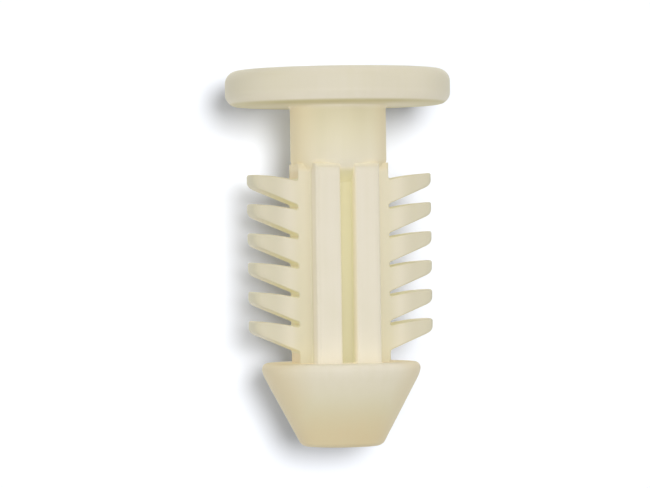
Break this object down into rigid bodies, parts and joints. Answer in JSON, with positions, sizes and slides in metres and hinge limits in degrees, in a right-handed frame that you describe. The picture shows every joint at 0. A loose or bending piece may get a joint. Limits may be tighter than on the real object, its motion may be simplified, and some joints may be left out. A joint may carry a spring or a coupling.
{
  "type": "push-in wall anchor",
  "caption": "One-piece nylon push-in wall anchor: round flat head, round neck, ribbed flat shank with springy upward-sloping fins down both sides, and a blunt cone nose.",
  "frame": {"origin": "on the anchor's axis, in the plane of the head's underside, where the mouth of its hole is", "axes": "+Z along the axis, out of the hole and through the head; X across the two rows of fins; -Y is the front, a face of the web with its two ribs"},
  "size_m": [0.0112, 0.0112, 0.0189],
  "materials": {
    "natural_nylon": "satin, milky cream, slightly translucent, as moulded"
  },
  "bodies": {
    "core": {"head": "natural_nylon", "neck": "natural_nylon", "shank": "natural_nylon", "nose": "natural_nylon"},
    "fin_left_1": {"fin_left_1": "natural_nylon"},
    "fin_left_2": {"fin_left_2": "natural_nylon"},
    "fin_left_3": {"fin_left_3": "natural_nylon"},
    "fin_left_4": {"fin_left_4": "natural_nylon"},
    "fin_left_5": {"fin_left_5": "natural_nylon"},
    "fin_left_6": {"fin_left_6": "natural_nylon"},
    "fin_right_1": {"fin_right_1": "natural_nylon"},
    "fin_right_2": {"fin_right_2": "natural_nylon"},
    "fin_right_3": {"fin_right_3": "natural_nylon"},
    "fin_right_4": {"fin_right_4": "natural_nylon"},
    "fin_right_5": {"fin_right_5": "natural_nylon"},
    "fin_right_6": {"fin_right_6": "natural_nylon"}
  },
  "joints": [
    {"name": "fin_left_1_bend", "type": "hinge", "parent": "core", "child": "fin_left_1", "pos_m": [-0.0023, 0, -0.00361], "axis": [0, 1, 0], "range_deg": [0, 20], "stiffness_Nm_per_rad": 0.3},
    {"name": "fin_left_2_bend", "type": "hinge", "parent": "core", "child": "fin_left_2", "pos_m": [-0.0023, 0, -0.00507], "axis": [0, 1, 0], "range_deg": [0, 20], "stiffness_Nm_per_rad": 0.3},
    {"name": "fin_left_3_bend", "type": "hinge", "parent": "core", "child": "fin_left_3", "pos_m": [-0.0023, 0, -0.00652], "axis": [0, 1, 0], "range_deg": [0, 20], "stiffness_Nm_per_rad": 0.3},
    {"name": "fin_left_4_bend", "type": "hinge", "parent": "core", "child": "fin_left_4", "pos_m": [-0.0023, 0, -0.00798], "axis": [0, 1, 0], "range_deg": [0, 20], "stiffness_Nm_per_rad": 0.3},
    {"name": "fin_left_5_bend", "type": "hinge", "parent": "core", "child": "fin_left_5", "pos_m": [-0.0023, 0, -0.00943], "axis": [0, 1, 0], "range_deg": [0, 20], "stiffness_Nm_per_rad": 0.3},
    {"name": "fin_left_6_bend", "type": "hinge", "parent": "core", "child": "fin_left_6", "pos_m": [-0.0023, 0, -0.01089], "axis": [0, 1, 0], "range_deg": [0, 20], "stiffness_Nm_per_rad": 0.3},
    {"name": "fin_right_1_bend", "type": "hinge", "parent": "core", "child": "fin_right_1", "pos_m": [0.0023, 0, -0.00361], "axis": [0, -1, 0], "range_deg": [0, 20], "stiffness_Nm_per_rad": 0.3},
    {"name": "fin_right_2_bend", "type": "hinge", "parent": "core", "child": "fin_right_2", "pos_m": [0.0023, 0, -0.00507], "axis": [0, -1, 0], "range_deg": [0, 20], "stiffness_Nm_per_rad": 0.3},
    {"name": "fin_right_3_bend", "type": "hinge", "parent": "core", "child": "fin_right_3", "pos_m": [0.0023, 0, -0.00652], "axis": [0, -1, 0], "range_deg": [0, 20], "stiffness_Nm_per_rad": 0.3},
    {"name": "fin_right_4_bend", "type": "hinge", "parent": "core", "child": "fin_right_4", "pos_m": [0.0023, 0, -0.00798], "axis": [0, -1, 0], "range_deg": [0, 20], "stiffness_Nm_per_rad": 0.3},
    {"name": "fin_right_5_bend", "type": "hinge", "parent": "core", "child": "fin_right_5", "pos_m": [0.0023, 0, -0.00943], "axis": [0, -1, 0], "range_deg": [0, 20], "stiffness_Nm_per_rad": 0.3},
    {"name": "fin_right_6_bend", "type": "hinge", "parent": "core", "child": "fin_right_6", "pos_m": [0.0023, 0, -0.01089], "axis": [0, -1, 0], "range_deg": [0, 20], "stiffness_Nm_per_rad": 0.3}
  ]
}
